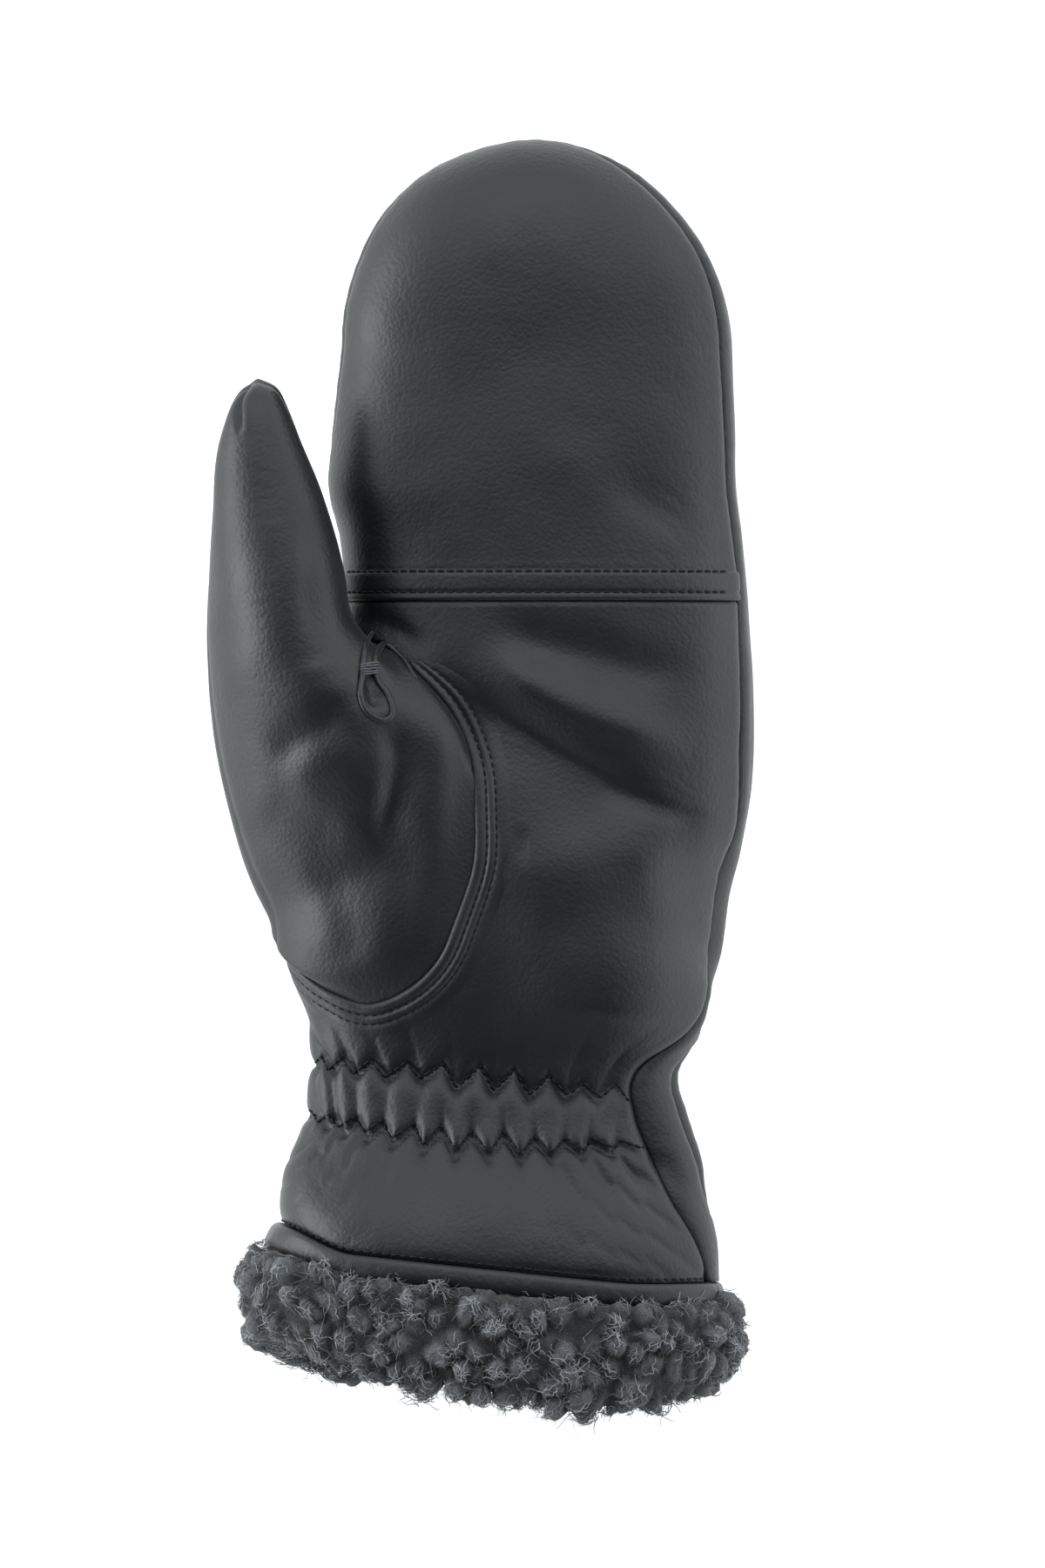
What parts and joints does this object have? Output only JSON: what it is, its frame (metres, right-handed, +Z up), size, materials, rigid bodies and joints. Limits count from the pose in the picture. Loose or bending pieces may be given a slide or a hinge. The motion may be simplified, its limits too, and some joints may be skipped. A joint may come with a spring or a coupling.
{
  "type": "leather mitten",
  "caption": "Lined leather mitten with a set-in thumb, a palm seam, an elastic-gathered wrist and a curly wool cuff.",
  "frame": {"origin": "on the flat patch where the back of the hand rests, under the middle of the palm", "axes": "+Z up out of the palm, +Y towards the fingertips, thumb towards -X"},
  "size_m": [0.1149, 0.2717, 0.0606],
  "materials": {
    "palm_leather": "soft black lamb leather, satin, fine grain",
    "back_leather": "soft black lamb leather, satin, fine grain",
    "binding_leather": "black leather, folded and stitched, satin",
    "curly_wool": "charcoal curly wool pile with pale fibre ends"
  },
  "bodies": {
    "root": {"palm_finger_panel": "palm_leather", "palm_heel_panel": "palm_leather", "back_panel": "back_leather", "side_gusset": "back_leather", "thumb_palm_side": "palm_leather", "thumb_back_side": "palm_leather", "thumb_keyhole_welt": "binding_leather", "cuff_binding": "binding_leather", "sherpa_cuff": "curly_wool"}
  },
  "joints": []
}
